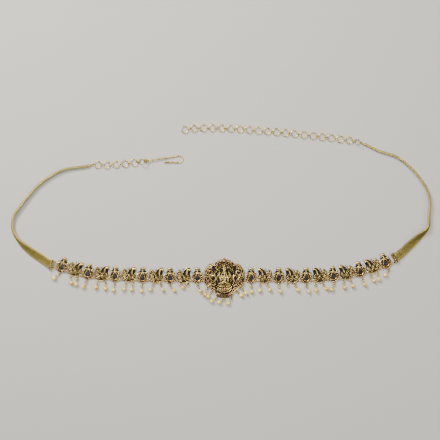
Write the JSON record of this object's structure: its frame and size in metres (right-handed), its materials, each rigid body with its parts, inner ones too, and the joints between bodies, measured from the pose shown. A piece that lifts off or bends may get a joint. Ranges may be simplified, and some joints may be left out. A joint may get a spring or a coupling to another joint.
{
  "type": "oddiyanam waist belt",
  "caption": "Ornamental waist belt laid open: cast centre plaque, stone and peacock links, pearl drops, woven bands, and a hook and ring-chain closure.",
  "frame": {"origin": "on the plaque's flat back, at the middle of its width, on the belt's centre line", "axes": "+X along the belt to the ring-chain side, +Y up the belt's height, +Z out of its decorated face"},
  "size_m": [0.4201, 0.1819, 0.0062],
  "materials": {
    "antique_gold": "antique gold plated cast brass with dark oxidised recesses",
    "gold_wire": "pale gold plated round wire, softly polished",
    "woven_gold": "pale gold plated woven wire mesh, matte",
    "gold_pearl": "cream-gold pearl coated bead",
    "dark_stone": "dark purple-black faceted glass stone, polished"
  },
  "bodies": {
    "root": {"centre_plaque": "antique_gold", "stone_link_l1": "antique_gold", "pear_stone_l1": "dark_stone", "stone_link_l2": "antique_gold", "pear_stone_l2": "dark_stone", "stone_link_l3": "antique_gold", "pear_stone_l3": "dark_stone", "stone_link_l4": "antique_gold", "pear_stone_l4": "dark_stone", "stone_link_l5": "antique_gold", "pear_stone_l5": "dark_stone", "stone_link_l6": "antique_gold", "pear_stone_l6": "dark_stone", "peacock_link_l1": "antique_gold", "peacock_link_l2": "antique_gold", "peacock_link_l3": "antique_gold", "peacock_link_l4": "antique_gold", "peacock_link_l5": "antique_gold", "stone_link_r1": "antique_gold", "pear_stone_r1": "dark_stone", "stone_link_r2": "antique_gold", "pear_stone_r2": "dark_stone", "stone_link_r3": "antique_gold", "pear_stone_r3": "dark_stone", "stone_link_r4": "antique_gold", "pear_stone_r4": "dark_stone", "stone_link_r5": "antique_gold", "pear_stone_r5": "dark_stone", "stone_link_r6": "antique_gold", "pear_stone_r6": "dark_stone", "peacock_link_r1": "antique_gold", "peacock_link_r2": "antique_gold", "peacock_link_r3": "antique_gold", "peacock_link_r4": "antique_gold", "peacock_link_r5": "antique_gold", "joint_rings": "gold_wire", "drop_rings": "gold_wire", "drop_pins": "gold_wire", "band_tip_left": "gold_wire", "band_tip_right": "gold_wire", "hook_chain": "gold_wire", "hook": "gold_wire", "ring_chain": "gold_wire", "end_ring": "gold_wire", "drop_pearls": "gold_pearl", "end_cap_left": "antique_gold", "end_cap_right": "antique_gold", "woven_band_left": "woven_gold", "woven_band_right": "woven_gold"}
  },
  "joints": []
}
